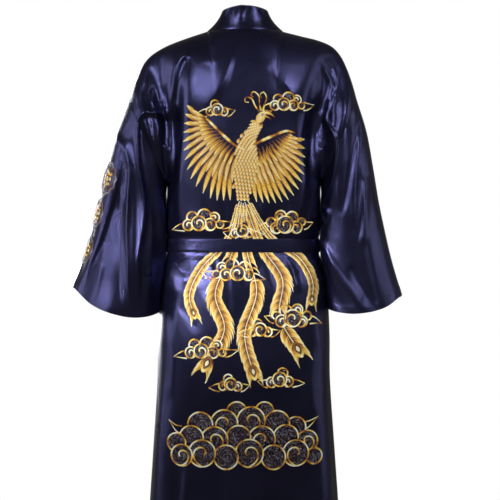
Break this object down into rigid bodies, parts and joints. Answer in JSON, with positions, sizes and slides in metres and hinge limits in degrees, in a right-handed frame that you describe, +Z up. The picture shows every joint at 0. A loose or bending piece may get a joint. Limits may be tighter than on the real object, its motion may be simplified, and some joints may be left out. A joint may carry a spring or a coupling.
{
  "type": "kimono robe",
  "caption": "Long satin kimono robe in its worn form, with wide sleeves, a collar band, a tied belt and an embroidered back.",
  "frame": {"origin": "middle of the neck opening, level with the points where the neck seam meets the shoulders", "axes": "+Z up, the robe faces -Y, +X is the wearer's left"},
  "size_m": [0.76, 0.2865, 1.3077],
  "materials": {
    "satin": "glossy navy satin",
    "band_satin": "glossy navy satin, double",
    "belt_satin": "navy satin, less glossy",
    "thread": "navy sewing thread",
    "gold_thread": "shaded gold embroidery thread",
    "grey_thread": "slate and bronze embroidery thread"
  },
  "bodies": {
    "root": {"back_panel": "satin", "front_left": "satin", "front_right": "satin", "sleeve_left": "satin", "sleeve_right": "satin", "collar_band_left": "band_satin", "collar_band_right": "band_satin", "belt": "belt_satin", "belt_knot": "belt_satin", "belt_tail_left": "belt_satin", "belt_tail_right": "belt_satin", "belt_loop_left": "thread", "belt_loop_right": "thread"}
  },
  "joints": []
}
